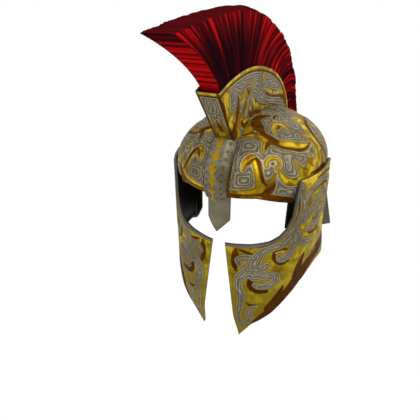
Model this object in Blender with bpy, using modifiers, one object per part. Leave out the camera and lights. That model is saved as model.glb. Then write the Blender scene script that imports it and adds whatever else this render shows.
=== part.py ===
"""Crested helmet with long cheek guards.

Metres, +Z up. The wearer faces -Y and the helmet is symmetric about X = 0. The origin is the
inside of the crown, where the top of the wearer's head would be.
"""

import math

import bmesh
import bpy
from mathutils import Vector

# Gap that neighbouring pieces keep.
CLEARANCE = 0.0004

# Skull: a dome on an oval plan, its rim arched over the face.
SKULL_HALF_WIDTH = 0.107
SKULL_FRONT_REACH = 0.128
SKULL_BACK_REACH = 0.131
SKULL_RISE = 0.068
SKULL_WALL = 0.002
SKULL_RIM_TUCK = 0.07
BROW_DEPTH = 0.080
BROW_ARCH_START = -0.112
NAPE_DROP = 0.042
NAPE_RUN = 0.172
SKULL_SIDES = 48
SKULL_RINGS = 10

# Brow band: a convex strap down the middle of the brow.
BAND_HALF_WIDTH = 0.0152
BAND_RISE = 0.0165
BAND_EDGE = 0.0012
BAND_TIP = 0.0045
# Rows: skull latitude in degrees, height of the strap as a share of BAND_RISE.
BAND_SWELL = ((-16, 0.26), (-4, 0.38), (12, 0.56), (20, 0.73), (30, 0.86), (40, 1.00))

# Nasal guard: a bowed blade behind the brow band.
NASAL_HALF_WIDTH = 0.0160
NASAL_WALL = 0.0022
NASAL_BOW = 0.0068
NASAL_SHOULDER = 0.0385
NASAL_TIP = 0.0565
NASAL_ROOT = 0.020

# Crest box: an open channel with arched sides, leaning forward at the front.
BOX_HALF_WIDTH_FOOT = 0.0120
BOX_HALF_WIDTH_RIM = 0.0140
BOX_WALL = 0.0016
BOX_FRONT = -0.0970
BOX_BACK = 0.1140
BOX_HEIGHT = 0.0906
BOX_STATIONS = 24
BOX_CUT_LEVEL = 1.6
# Rows: share of the way back, height as a share of BOX_HEIGHT, forward lean in degrees.
BOX_ARCH = (
    (0.00, 1.00, 35.8),
    (0.12, 0.87, 22.0),
    (0.25, 0.76, 10.5),
    (0.48, 0.60, 3.0),
    (0.70, 0.42, -18.0),
    (0.88, 0.25, -29.0),
    (1.00, 0.09, -42.0),
)

# Plume: a brush of hair standing in the crest box.
PLUME_HALF_WIDTH_TIP = 0.0165
PLUME_END_GAP = 0.016
PLUME_LOCKS = 34
PLUME_LOCK_DEPTH = 0.0011
PLUME_TUFT = 0.0022
PLUME_CROWN = 0.0060
# Rows: share along the tips from front to back, share along the box, depth and height of the
# tips in metres.
PLUME_TIPS = (
    (0.000, 0.00, -0.2352, 0.1142),
    (0.085, 0.03, -0.1930, 0.1195),
    (0.160, 0.09, -0.1570, 0.1236),
    (0.268, 0.16, -0.1050, 0.1262),
    (0.345, 0.22, -0.0680, 0.1250),
    (0.457, 0.30, -0.0150, 0.1160),
    (0.590, 0.44, 0.0450, 0.0950),
    (0.690, 0.62, 0.0881, 0.0719),
    (0.833, 0.83, 0.1381, 0.0254),
    (1.000, 1.00, 0.1788, -0.0458),
)

# Cheek guards: long plates that wrap the face, thick along their edges.
CHEEK_SHEET = 0.0022
CHEEK_EDGE = 0.0048
CHEEK_TOP = -0.0610
CHEEK_JAW_LEVEL = -0.1540
CHEEK_TIP = -0.3407
CHEEK_JAW_HALF_WIDTH = 0.1170
CHEEK_JAW_REACH = 0.1145
CHEEK_JAW_CENTRE = -0.0040
CHEEK_REAR_FLARE = 0.0085
CHEEK_CHIN_TUCK = 0.0120

# Neck plates: sheets that close the gap behind each cheek guard and flare outwards.
NECK_SHEET = 0.0018
NECK_FRONT = (SKULL_HALF_WIDTH - 0.0365, -0.0342)
NECK_BEND_GAP = 0.0006
NECK_FLARE = (SKULL_HALF_WIDTH + 0.0178, 0.0455)

# Colours: base colour, roughness, metallic.
FINISHES = {
    "gilded": ((0.60, 0.43, 0.08), 0.38, 1.0),
    "silvered": ((0.42, 0.40, 0.34), 0.42, 1.0),
    "steel": ((0.10, 0.095, 0.075), 0.50, 1.0),
    "hair": ((0.35, 0.01, 0.012), 0.60, 0.0),
}


def blend(table, position):
    """Read the second column of a table at a position in its first column."""
    if position <= table[0][0]:
        return table[0][1]
    for (left, low), (right, high) in zip(table, table[1:]):
        if position <= right:
            share = (position - left) / (right - left)
            return low + (high - low) * share
    return table[-1][1]


def smooth(low, high, value):
    """Ease from 0 at low to 1 at high."""
    share = min(max((value - low) / (high - low), 0.0), 1.0)
    return share * share * (3 - 2 * share)


# The skull's surface.

def skull_centre_height():
    """Height of the widest level, measured from the inside of the crown."""
    return SKULL_WALL - SKULL_RISE


def rim_height(depth):
    """Height of the rim at a depth from front to back."""
    share = min(max((depth - BROW_ARCH_START) / NAPE_RUN, 0.0), 1.0)
    return -BROW_DEPTH + SKULL_WALL - NAPE_DROP * (1 - (1 - share) ** 2)


def skull_point(azimuth, latitude, outset=0.0):
    """A point on the skull: azimuth 0 is the brow, latitude 90 degrees the crown."""
    reach = SKULL_FRONT_REACH if math.cos(azimuth) > 0 else SKULL_BACK_REACH
    rise = math.sin(latitude)
    if latitude >= 0:
        spread = math.cos(latitude)
    else:
        spread = 1 - SKULL_RIM_TUCK * (1 - math.exp(-rise * rise / 0.12))
    across = (SKULL_HALF_WIDTH + outset) * spread * math.sin(azimuth)
    along = -(reach + outset) * spread * math.cos(azimuth)
    return Vector((across, along, skull_centre_height() + (SKULL_RISE + outset) * rise))


def rim_latitude(azimuth):
    """Latitude at which the skull ends, found by closing in on the rim's height."""
    low, high = math.radians(-80), math.radians(40)
    for _ in range(40):
        middle = (low + high) / 2
        point = skull_point(azimuth, middle)
        if point.z < rim_height(point.y):
            low = middle
        else:
            high = middle
    return (low + high) / 2


# Building blocks.

def finish_object(name, bm, finish, collection):
    """Store a mesh as a named object with its finish."""
    mesh = bpy.data.meshes.new(name)
    bm.to_mesh(mesh)
    bm.free()
    mesh.shade_smooth()
    mesh.set_sharp_from_angle(angle=math.radians(35))
    piece = bpy.data.objects.new(name, mesh)
    collection.objects.link(piece)
    piece.data.materials.append(finish)
    return piece


def plate(columns, rows, outer, inner):
    """A closed plate between outer(u, v) and inner(u, v), on grid lines given as shares."""
    bm = bmesh.new()
    bmesh.ops.create_grid(bm, x_segments=len(columns) - 1, y_segments=len(rows) - 1, size=0.5)
    shares = {}
    for vert in bm.verts:
        u = columns[round((vert.co.x + 0.5) * (len(columns) - 1))]
        v = rows[round((vert.co.y + 0.5) * (len(rows) - 1))]
        shares[vert.index] = (u, v)
        vert.co.z = vert.index
    made = bmesh.ops.extrude_face_region(bm, geom=list(bm.faces), use_keep_orig=True)
    backs = {item for item in made["geom"] if isinstance(item, bmesh.types.BMVert)}
    for vert in bm.verts:
        u, v = shares[round(vert.co.z)]
        vert.co = inner(u, v) if vert in backs else outer(u, v)
    bmesh.ops.recalc_face_normals(bm, faces=list(bm.faces))
    return bm


def even_lines(count):
    """Grid lines that cut 0 to 1 into count equal steps."""
    return [index / count for index in range(count + 1)]


def bordered_lines(count, border, step):
    """Grid lines with a border of its own width at both ends and a narrow step after it."""
    start = border + step
    middle = [start + (1 - 2 * start) * share for share in even_lines(count)]
    return [0.0, border] + middle + [1 - border, 1.0]


def surface_normal(place, u, v, outward):
    """Unit normal of place(u, v), on the side that outward points to."""
    step = 0.002
    low_u, high_u = max(u - step, 0.0), min(u + step, 1.0)
    low_v, high_v = max(v - step, 0.0), min(v + step, 1.0)
    along_u = place(high_u, v) - place(low_u, v)
    along_v = place(u, high_v) - place(u, low_v)
    normal = along_u.cross(along_v).normalized()
    return normal if normal.dot(outward) > 0 else -normal


def flipped(bm):
    """The same mesh on the other side of X = 0."""
    twin = bm.copy()
    for vert in twin.verts:
        vert.co.x = -vert.co.x
    bmesh.ops.reverse_faces(twin, faces=list(twin.faces))
    return twin


# Skull.

def make_skull(finish, collection):
    """The bowl: half a sphere moved onto the skull's surface, then given its wall."""
    bm = bmesh.new()
    bmesh.ops.create_uvsphere(bm, u_segments=SKULL_SIDES, v_segments=2 * SKULL_RINGS, radius=1.0)
    lower = [vert for vert in bm.verts if vert.co.z < -0.001]
    bmesh.ops.delete(bm, geom=lower, context="VERTS")
    for vert in bm.verts:
        azimuth = math.atan2(vert.co.x, -vert.co.y)
        share = math.asin(min(max(vert.co.z, 0.0), 1.0)) / math.radians(90)
        start = rim_latitude(azimuth)
        vert.co = skull_point(azimuth, start + (math.radians(90) - start) * share)
    bm.normal_update()
    piece = finish_object("skull", bm, finish, collection)
    wall = piece.modifiers.new("wall", "SOLIDIFY")
    wall.thickness = SKULL_WALL
    wall.offset = -1.0
    wall.use_even_offset = True


# Crest box and plume. Both fan out from the middle line of the crown.

def crown_line(depth, lift=0.0):
    """Height of the crown's middle line at a depth from front to back."""
    reach = SKULL_FRONT_REACH if depth < 0 else SKULL_BACK_REACH
    rise = math.sqrt(max(1 - (depth / (reach + lift)) ** 2, 0.0))
    return skull_centre_height() + (SKULL_RISE + lift) * rise


def column(table, number):
    """Two columns of a table: the first and the one asked for."""
    return [(row[0], row[number]) for row in table]


def box_ray(share):
    """Foot and rim of the crest box in the middle plane, as (depth, height) vectors."""
    depth = BOX_FRONT + (BOX_BACK - BOX_FRONT) * share
    foot = Vector((depth, crown_line(depth, CLEARANCE * 2)))
    height = BOX_HEIGHT * blend(column(BOX_ARCH, 1), share)
    lean = math.radians(blend(column(BOX_ARCH, 2), share))
    return foot, foot + height * Vector((-math.sin(lean), math.cos(lean)))


def box_half_width(level):
    """Half the box's outer width at a level between its foot, 0, and its rim, 1."""
    return BOX_HALF_WIDTH_FOOT + (BOX_HALF_WIDTH_RIM - BOX_HALF_WIDTH_FOOT) * level


def box_block(first, last, floor, top, inset):
    """A solid block between two stations, narrower than the box by the inset each side."""
    def side(sign):
        def place(u, v):
            foot, rim = box_ray(first + (last - first) * u)
            height = (rim - foot).length
            low = floor / height
            level = low + (top - low) * v
            point = foot + (rim - foot) * level
            return Vector((sign * (box_half_width(level) - inset), point.x, point.y))
        return place
    return plate(even_lines(BOX_STATIONS), (0.0, 1.0), side(1), side(-1))


def make_crest_box(finish, collection, guides):
    """The channel: a block with its inside cut away, open at the top."""
    box = finish_object("crest_box", box_block(0.0, 1.0, 0.0, 1.0, 0.0), finish, collection)
    end = BOX_WALL / (BOX_BACK - BOX_FRONT) * 1.3
    hollow = box_block(end, 1 - end, BOX_WALL, BOX_CUT_LEVEL, BOX_WALL)
    cutter = finish_object("crest_box_hollow", hollow, finish, guides)
    cutter.hide_render = True
    cutter.display_type = "WIRE"
    cut = box.modifiers.new("hollow", "BOOLEAN")
    cut.operation = "DIFFERENCE"
    cut.object = cutter


def plume_point(share, level, side):
    """A point on the plume's flank: level 0 is the root, 1 the box's rim, 2 the tips."""
    station = PLUME_END_GAP + (1 - 2 * PLUME_END_GAP) * blend(column(PLUME_TIPS, 1), share)
    foot, rim = box_ray(station)
    up = (rim - foot).normalized()
    root = foot + up * (BOX_WALL + CLEARANCE)
    inner_rim = box_half_width(1.0) - BOX_WALL - CLEARANCE * 2
    inner_root = box_half_width(0.0) - BOX_WALL - CLEARANCE
    neck = inner_root + (inner_rim - inner_root) * 0.8
    if level <= 1:
        point = root + (rim - root) * level
        width = inner_root + (neck - inner_root) * level
        return Vector((side * width, point.x, point.y))
    rise = level - 1
    lock = 1 - abs(math.sin(math.pi * PLUME_LOCKS * share))
    depth, height = [blend(column(PLUME_TIPS, number), share) for number in (2, 3)]
    reach = Vector((depth, height)) - rim
    length = reach.length - PLUME_TUFT * lock
    if side == 0:
        length += PLUME_CROWN * rise * rise * 4 * share * (1 - share)
    bend = up.lerp(reach.normalized(), rise ** 0.5).normalized()
    point = rim + bend * length * rise
    width = neck + (PLUME_HALF_WIDTH_TIP - neck) * rise - PLUME_LOCK_DEPTH * lock * rise
    return Vector((side * width, point.x, point.y))


def make_plume(finish, collection):
    """The brush: one flank, drawn in to the middle plane and mirrored across it."""
    def flank(u, v):
        return plume_point(u, v, 1)

    def spine(u, v):
        return plume_point(u, v, 0)

    levels = (0.0, 1.0, 1.12, 1.4, 1.75, 2.0)
    bm = plate(even_lines(3 * PLUME_LOCKS), levels, flank, spine)
    inner = [face for face in bm.faces if all(abs(vert.co.x) < 1e-6 for vert in face.verts)]
    bmesh.ops.delete(bm, geom=inner, context="FACES")
    whole = list(bm.verts) + list(bm.edges) + list(bm.faces)
    bmesh.ops.mirror(bm, geom=whole, axis="X", merge_dist=0.00005)
    bmesh.ops.recalc_face_normals(bm, faces=list(bm.faces))
    finish_object("plume", bm, finish, collection)


# Brow band and nasal guard.

def band_surface(across, latitude, lift):
    """A point over the brow: across the strap from -1 to 1, lifted off the skull."""
    spread = math.cos(latitude) if latitude > 0 else 1.0
    azimuth = math.asin(across * BAND_HALF_WIDTH / (SKULL_HALF_WIDTH * spread))
    base = skull_point(azimuth, latitude)
    centre = Vector((0.0, 0.0, skull_centre_height()))
    away = base - centre
    normal = Vector((
        away.x / SKULL_HALF_WIDTH ** 2,
        away.y / SKULL_FRONT_REACH ** 2,
        away.z / SKULL_RISE ** 2,
    )).normalized()
    return base + normal * lift


def band_lift(across, latitude):
    """Height of the strap's outer face over the skull."""
    swell = BAND_RISE * blend(BAND_SWELL, math.degrees(latitude))
    return BAND_EDGE + CLEARANCE + (swell - BAND_EDGE) * (1 - abs(across) ** 2.4) ** 0.5


def band_top_latitude():
    """Latitude at which the strap meets the crest box's leaning front wall."""
    foot, rim = box_ray(0.0)
    slope = (rim.x - foot.x) / (rim.y - foot.y)
    latitude = math.radians(55)
    while latitude > 0:
        crest = band_surface(0.0, latitude, band_lift(0.0, latitude))
        seat = band_surface(0.0, latitude, CLEARANCE)
        room = [foot.x + slope * (point.z - foot.y) - point.y for point in (crest, seat)]
        if min(room) > CLEARANCE * 2:
            return latitude
        latitude -= math.radians(0.1)
    return latitude


def make_brow_band(finish, collection):
    """The strap over the brow, with a rounded lower end just below the rim."""
    top = band_top_latitude()
    brow = rim_latitude(0.0)
    tip = BAND_TIP / SKULL_RISE

    def latitude(u, v):
        across = 2 * u - 1
        start = brow - tip * (1 - across * across)
        return start + (top - start) * v

    def outer(u, v):
        across = 2 * u - 1
        angle = latitude(u, v)
        return band_surface(across, angle, band_lift(across, angle))

    def inner(u, v):
        return band_surface(2 * u - 1, latitude(u, v), CLEARANCE)

    bm = plate(even_lines(10), even_lines(16), outer, inner)
    finish_object("brow_band", bm, finish, collection)


def make_nasal_guard(finish, collection):
    """The bowed blade: its root stands behind the brow, its end comes to a point."""
    brow = rim_height(-SKULL_FRONT_REACH)
    front = skull_point(0.0, rim_latitude(0.0)).y + SKULL_WALL + CLEARANCE

    def place(inset):
        def point(u, v):
            across = 2 * u - 1
            low = -NASAL_TIP + (NASAL_TIP - NASAL_SHOULDER) * abs(across)
            height = brow + low + (NASAL_ROOT - low) * v
            bow = NASAL_BOW * across * across
            return Vector((across * NASAL_HALF_WIDTH, front + bow + inset, height))
        return point

    bm = plate(even_lines(10), even_lines(4), place(0.0), place(NASAL_WALL))
    finish_object("nasal_guard", bm, finish, collection)


# Cheek guards. A point on their outer face is given by its bearing from the middle of the face.

def cheek_face(bearing, height):
    """A point on the guards' outer face at a bearing and a height."""
    share = min(max((CHEEK_TOP - height) / (CHEEK_TOP - CHEEK_JAW_LEVEL), 0.0), 1.0)
    seat = CHEEK_EDGE + CLEARANCE * 1.5
    half_width = SKULL_HALF_WIDTH + seat
    half_width += (CHEEK_JAW_HALF_WIDTH - half_width) * share
    reach = SKULL_FRONT_REACH + seat
    reach += (CHEEK_JAW_REACH - reach) * share
    across = half_width * math.sin(bearing)
    along = CHEEK_JAW_CENTRE * share - reach * math.cos(bearing)
    below_jaw = smooth(CHEEK_JAW_LEVEL, CHEEK_JAW_LEVEL - 0.073, height)
    flare = CHEEK_REAR_FLARE * below_jaw * smooth(math.radians(80), math.radians(112), bearing)
    tuck = CHEEK_CHIN_TUCK * smooth(CHEEK_TIP + 0.062, CHEEK_TIP - 0.008, height)
    return Vector((across + flare, along + tuck, height))


# Rows: share along the guard from front to back, bearing in degrees, height as a share of the
# way from CHEEK_TOP, 0, to CHEEK_TIP, 1.
CHEEK_LOWER_EDGE = (
    (0.00, 15.9, 1.000),
    (0.12, 26.4, 0.874),
    (0.30, 42.3, 0.785),
    (0.46, 55.5, 0.688),
    (0.56, 65.3, 0.622),
    (0.66, 75.2, 0.579),
    (0.78, 87.0, 0.561),
    (0.90, 98.8, 0.567),
    (1.00, 108.6, 0.593),
)
CHEEK_UPPER_EDGE = (
    (0.00, 4.7, 0.334),
    (0.12, 22.5, 0.327),
    (0.21, 35.5, 0.310),
    (0.27, 42.5, 0.285),
    (0.33, 48.0, 0.246),
    (0.38, 52.2, 0.185),
    (0.46, 56.2, 0.000),
    (1.00, 100.8, 0.000),
)


def cheek_place(u, v):
    """A point on the guard's outer face: u from front to back, v from lower to upper edge."""
    low = Vector((blend(column(CHEEK_LOWER_EDGE, 1), u), blend(column(CHEEK_LOWER_EDGE, 2), u)))
    high = Vector((blend(column(CHEEK_UPPER_EDGE, 1), u), blend(column(CHEEK_UPPER_EDGE, 2), u)))
    place = low + (high - low) * v
    return cheek_face(math.radians(place.x), CHEEK_TOP + (CHEEK_TIP - CHEEK_TOP) * place.y)


def cheek_outward(point):
    """A direction that points out of the guard at a point on it."""
    return Vector((point.x, point.y, 0.0))


def cheek_back(u, v, depth):
    """A point at a depth behind the guard's outer face."""
    point = cheek_place(u, v)
    return point - surface_normal(cheek_place, u, v, cheek_outward(point)) * depth


def make_cheek_guards(finish, collection):
    """Both guards: a sheet with a thicker border all round."""
    border_u, step_u = 0.035, 0.010
    border_v, step_v = 0.038, 0.010
    lines = sorted(set(bordered_lines(14, border_u, step_u)) | {0.46})
    rows = bordered_lines(10, border_v, step_v)

    def inner(u, v):
        in_border = min(u, 1 - u) <= border_u or min(v, 1 - v) <= border_v
        return cheek_back(u, v, CHEEK_EDGE if in_border else CHEEK_SHEET)

    right = plate(lines, rows, cheek_place, inner)
    left = flipped(right)
    finish_object("cheek_guard_left", right, finish, collection)
    finish_object("cheek_guard_right", left, finish, collection)


# Neck plates. Each runs back from beside the neck, close behind the cheek guard's rear edge,
# and flares outwards past it.

NECK_BEND = 0.74
NECK_TIP_LEVEL = -0.1797
NECK_OUTER_TOP = (0.1125, 0.0310)
# Rows: share of the way from front to flare, depth below the brow's rim in metres.
NECK_LOWER_EDGE = (
    (0.00, 0.082),
    (0.30, 0.108),
    (0.56, 0.134),
    (0.66, 0.128),
    (0.74, 0.098),
    (1.00, 0.102),
)


def guard_rear_corner(height):
    """The inner corner of the cheek guard's rear edge at a height."""
    low, high = 0.0, 1.0
    for _ in range(30):
        middle = (low + high) / 2
        if cheek_place(1.0, middle).z < height:
            low = middle
        else:
            high = middle
    return cheek_back(1.0, low, CHEEK_EDGE)


def neck_plan(u, height):
    """Place of the neck plate's outer face in plan, at a height."""
    front = Vector(NECK_FRONT)
    corner = guard_rear_corner(height)
    bend = Vector((corner.x - NECK_BEND_GAP * 1.4, corner.y + NECK_BEND_GAP))
    top = rim_height(NECK_OUTER_TOP[1])
    share = min(max((top - height) / (top - NECK_TIP_LEVEL), 0.0), 1.0)
    flare = Vector(NECK_OUTER_TOP).lerp(Vector(NECK_FLARE), share)
    if u <= NECK_BEND:
        return front.lerp(bend, u / NECK_BEND)
    return bend.lerp(flare, (u - NECK_BEND) / (1 - NECK_BEND))


def neck_place(u, v):
    """A point on the neck plate's outer face: v from its lower to its upper edge."""
    brow = rim_height(-SKULL_FRONT_REACH)
    low = brow - blend(NECK_LOWER_EDGE, u)
    high = rim_height(neck_plan(u, rim_height(0.0)).y) - CLEARANCE * 2
    height = low + (high - low) * v
    plan = neck_plan(u, height)
    return Vector((plan.x, plan.y, height))


def make_neck_plates(finish, collection):
    """Both neck plates, one the mirror image of the other."""
    def inner(u, v):
        point = neck_place(u, v)
        normal = surface_normal(neck_place, u, v, Vector((0.8, -0.6, 0.0)))
        return point - normal * NECK_SHEET

    lines = sorted(set(even_lines(9)) | {0.56, 0.66, NECK_BEND, 0.80})
    right = plate(lines, even_lines(5), neck_place, inner)
    left = flipped(right)
    finish_object("neck_plate_left", right, finish, collection)
    finish_object("neck_plate_right", left, finish, collection)


def make_finish(name):
    """A material with the named finish."""
    colour, roughness, metallic = FINISHES[name]
    finish = bpy.data.materials.new(name)
    finish.use_nodes = True
    shader = finish.node_tree.nodes["Principled BSDF"]
    shader.inputs["Base Color"].default_value = (*colour, 1.0)
    shader.inputs["Roughness"].default_value = roughness
    shader.inputs["Metallic"].default_value = metallic
    return finish


def main():
    for old in list(bpy.data.objects):
        bpy.data.objects.remove(old)
    helmet = bpy.data.collections.new("roman_helmet")
    guides = bpy.data.collections.new("guides")
    bpy.context.scene.collection.children.link(helmet)
    bpy.context.scene.collection.children.link(guides)
    finishes = {name: make_finish(name) for name in FINISHES}
    make_skull(finishes["gilded"], helmet)
    make_crest_box(finishes["gilded"], helmet, guides)
    make_plume(finishes["hair"], helmet)
    make_brow_band(finishes["silvered"], helmet)
    make_nasal_guard(finishes["steel"], helmet)
    make_cheek_guards(finishes["gilded"], helmet)
    make_neck_plates(finishes["steel"], helmet)


main()
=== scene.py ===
"""Crested helmet with gilded scrollwork, long cheek guards and a red hair plume."""

import math

import bmesh
import bpy
import numpy as np
from mathutils import Matrix, Vector


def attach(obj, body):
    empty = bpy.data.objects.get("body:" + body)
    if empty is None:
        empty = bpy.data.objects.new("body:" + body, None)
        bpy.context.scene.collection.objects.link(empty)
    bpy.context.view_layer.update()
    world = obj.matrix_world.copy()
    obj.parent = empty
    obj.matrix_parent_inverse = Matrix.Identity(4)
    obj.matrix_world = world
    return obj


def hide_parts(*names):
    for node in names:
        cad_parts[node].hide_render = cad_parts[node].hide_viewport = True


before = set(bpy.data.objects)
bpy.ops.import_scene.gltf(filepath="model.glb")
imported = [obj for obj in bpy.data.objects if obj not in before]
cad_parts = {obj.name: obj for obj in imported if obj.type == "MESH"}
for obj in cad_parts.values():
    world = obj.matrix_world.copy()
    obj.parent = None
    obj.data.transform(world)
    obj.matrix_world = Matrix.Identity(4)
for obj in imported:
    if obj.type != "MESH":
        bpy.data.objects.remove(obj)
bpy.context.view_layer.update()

MM = 0.001

# Sizes in metres, nearly all of them those of the plain solids. The wearer faces -Y.
CLEARANCE = 0.0004
SKULL_HALF_WIDTH = 0.107
SKULL_FRONT_REACH = 0.128
SKULL_BACK_REACH = 0.131
SKULL_RISE = 0.068
SKULL_WALL = 0.002
SKULL_RIM_TUCK = 0.07
BROW_DEPTH = 0.080
BROW_ARCH_START = -0.112
NAPE_DROP = 0.042
NAPE_RUN = 0.172

BAND_HALF_WIDTH = 0.0152
BAND_RISE = 0.0165
BAND_EDGE = 0.0012
BAND_TIP = 0.0045
BAND_SWELL = ((-16, 0.26), (-4, 0.38), (12, 0.56), (20, 0.73), (30, 0.86), (40, 1.00))

NASAL_HALF_WIDTH = 0.0160
NASAL_WALL = 0.0022
NASAL_BOW = 0.0068
NASAL_SHOULDER = 0.0385
NASAL_TIP = 0.0565
NASAL_ROOT = 0.020

BOX_HALF_WIDTH_FOOT = 0.0120
BOX_HALF_WIDTH_RIM = 0.0140
BOX_WALL = 0.0016
BOX_FRONT = -0.0970
BOX_BACK = 0.1140
BOX_HEIGHT = 0.0906
# Rows: share of the way back, height as a share of BOX_HEIGHT, forward lean in degrees.
BOX_ARCH = np.array((
    (0.00, 1.00, 35.8),
    (0.12, 0.87, 22.0),
    (0.25, 0.76, 10.5),
    (0.48, 0.60, 3.0),
    (0.70, 0.42, -18.0),
    (0.88, 0.25, -29.0),
    (1.00, 0.09, -42.0),
))

PLUME_HALF_WIDTH_TIP = 0.0165
PLUME_END_GAP = 0.016
PLUME_CROWN = 0.0060
# Rows: share along the tips from front to back, share along the box, depth and height of the
# tips in metres.
PLUME_TIPS = np.array((
    (0.000, 0.00, -0.2340, 0.1132),
    (0.085, 0.03, -0.1930, 0.1195),
    (0.160, 0.09, -0.1570, 0.1236),
    (0.268, 0.16, -0.1050, 0.1262),
    (0.345, 0.22, -0.0680, 0.1250),
    (0.457, 0.30, -0.0150, 0.1160),
    (0.590, 0.44, 0.0450, 0.0950),
    (0.690, 0.62, 0.0881, 0.0719),
    (0.833, 0.83, 0.1381, 0.0254),
    (1.000, 1.00, 0.1780, -0.0453),
))

CHEEK_SHEET = 0.0022
CHEEK_EDGE = 0.0048
CHEEK_TOP = -0.0610
CHEEK_JAW_LEVEL = -0.1540
CHEEK_TIP = -0.3407
CHEEK_JAW_HALF_WIDTH = 0.1170
CHEEK_JAW_REACH = 0.1145
CHEEK_JAW_CENTRE = -0.0040
CHEEK_REAR_FLARE = 0.0085
CHEEK_CHIN_TUCK = 0.0120
# Rows: share along the guard from front to back, bearing in degrees, height as a share of the
# way from CHEEK_TOP, 0, to CHEEK_TIP, 1.
CHEEK_LOWER_EDGE = np.array((
    (0.00, 15.9, 1.000),
    (0.12, 26.4, 0.874),
    (0.30, 42.3, 0.785),
    (0.46, 55.5, 0.688),
    (0.56, 65.3, 0.622),
    (0.66, 75.2, 0.579),
    (0.78, 87.0, 0.561),
    (0.90, 98.8, 0.567),
    (1.00, 108.6, 0.593),
))
CHEEK_UPPER_EDGE = np.array((
    (0.00, 4.7, 0.334),
    (0.12, 22.5, 0.327),
    (0.21, 35.5, 0.310),
    (0.27, 42.5, 0.285),
    (0.33, 48.0, 0.246),
    (0.38, 52.2, 0.185),
    (0.46, 56.2, 0.000),
    (1.00, 100.8, 0.000),
))

NECK_SHEET = 0.0018
NECK_FRONT = (0.0705, -0.0342)
NECK_BEND_GAP = -0.0016
NECK_FLARE = (0.1248, 0.0455)
NECK_BEND = 0.74
NECK_TIP_LEVEL = -0.1797
NECK_OUTER_TOP = (0.1125, 0.0310)
# A direction out of the plate's face.
NECK_OUTWARD = (0.8, -0.6, 0.0)
# Rows: share of the way from front to flare, depth below the brow's rim in metres.
NECK_LOWER_EDGE = np.array((
    (0.00, 0.082),
    (0.30, 0.108),
    (0.56, 0.134),
    (0.66, 0.128),
    (0.74, 0.098),
    (1.00, 0.102),
))

# Relief in mm: the height of the scrolls, and the spacing and depth of the lines cut in them.
SCROLL_HEIGHT = 0.9
LINE_PERIOD = 3.3
LINE_DEPTH = 0.22

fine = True


# Surfaces. They take arrays, and points are rows in metres.

def read(table, position, number=1):
    """A column of a table at positions in its first column."""
    return np.interp(position, table[:, 0], table[:, number])


def smooth(low, high, value):
    """Ease from 0 at low to 1 at high."""
    share = np.clip((value - low) / (high - low), 0, 1)
    return share * share * (3 - 2 * share)


def unit(vectors):
    """Rows of vectors brought to length 1."""
    return vectors / np.maximum(np.linalg.norm(vectors, axis=-1, keepdims=True), 1e-12)


def rim_height(depth):
    """Height of the skull's rim: arched over the brow, lower at the nape."""
    share = np.clip((depth - BROW_ARCH_START) / NAPE_RUN, 0, 1)
    return -BROW_DEPTH + SKULL_WALL - NAPE_DROP * (1 - (1 - share) ** 2)


def skull_point(azimuth, latitude, outset=0.0):
    """The skull's face: azimuth 0 is the brow, latitude 90 degrees the crown."""
    reach = np.where(np.cos(azimuth) > 0, SKULL_FRONT_REACH, SKULL_BACK_REACH)
    rise = np.sin(latitude)
    tucked = 1 - SKULL_RIM_TUCK * (1 - np.exp(-rise * rise / 0.12))
    spread = np.where(latitude >= 0, np.cos(latitude), tucked)
    return np.stack((
        (SKULL_HALF_WIDTH + outset) * spread * np.sin(azimuth),
        -(reach + outset) * spread * np.cos(azimuth),
        SKULL_WALL - SKULL_RISE + (SKULL_RISE + outset) * rise,
    ), axis=-1)


def rim_latitude(azimuth):
    """Latitude at which the skull ends, found by closing in on the rim's height."""
    low = np.full(np.shape(azimuth), math.radians(-80))
    high = np.full(np.shape(azimuth), math.radians(40))
    for _ in range(30):
        middle = (low + high) / 2
        point = skull_point(azimuth, middle)
        under = point[..., 2] < rim_height(point[..., 1])
        low, high = np.where(under, middle, low), np.where(under, high, middle)
    return (low + high) / 2


def skull_normal(points):
    """Outward directions on the skull."""
    reach = np.where(points[:, 1] < 0, SKULL_FRONT_REACH, SKULL_BACK_REACH)
    rise = np.maximum(points[:, 2] - SKULL_WALL + SKULL_RISE, 0)
    return unit(np.stack((
        points[:, 0] / SKULL_HALF_WIDTH ** 2,
        points[:, 1] / reach ** 2,
        rise / SKULL_RISE ** 2,
    ), axis=-1))


def crown_line(depth, lift=0.0):
    """Height of the crown's middle line at depths from front to back."""
    reach = np.where(depth < 0, SKULL_FRONT_REACH, SKULL_BACK_REACH) + lift
    rise = np.sqrt(np.maximum(1 - (depth / reach) ** 2, 0))
    return SKULL_WALL - SKULL_RISE + (SKULL_RISE + lift) * rise


def box_ray(share):
    """Foot and rim of the crest box in the middle plane, as (depth, height) rows."""
    depth = BOX_FRONT + (BOX_BACK - BOX_FRONT) * share
    foot = np.stack((depth, crown_line(depth, CLEARANCE * 2)), axis=-1)
    height = BOX_HEIGHT * read(BOX_ARCH, share)
    lean = np.radians(read(BOX_ARCH, share, 2))
    reach = np.stack((-np.sin(lean) * height, np.cos(lean) * height), axis=-1)
    return foot, foot + reach


def box_point(share, level, across):
    """The box's outer face: level 0 is the foot, 1 the rim; across runs from -1 to 1."""
    foot, rim = box_ray(share)
    point = foot + (rim - foot) * level[..., None]
    half = BOX_HALF_WIDTH_FOOT + (BOX_HALF_WIDTH_RIM - BOX_HALF_WIDTH_FOOT) * level
    return np.stack((across * half, point[..., 0], point[..., 1]), axis=-1)


def band_surface(across, latitude, lift):
    """A point over the brow, across the strap from -1 to 1 and lifted off the skull."""
    spread = np.where(latitude > 0, np.cos(latitude), 1.0)
    azimuth = np.arcsin(across * BAND_HALF_WIDTH / (SKULL_HALF_WIDTH * spread))
    base = skull_point(azimuth, latitude)
    away = base - np.array((0, 0, SKULL_WALL - SKULL_RISE))
    scale = np.array((SKULL_HALF_WIDTH, SKULL_FRONT_REACH, SKULL_RISE)) ** 2
    return base + unit(away / scale) * lift[..., None]


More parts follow.
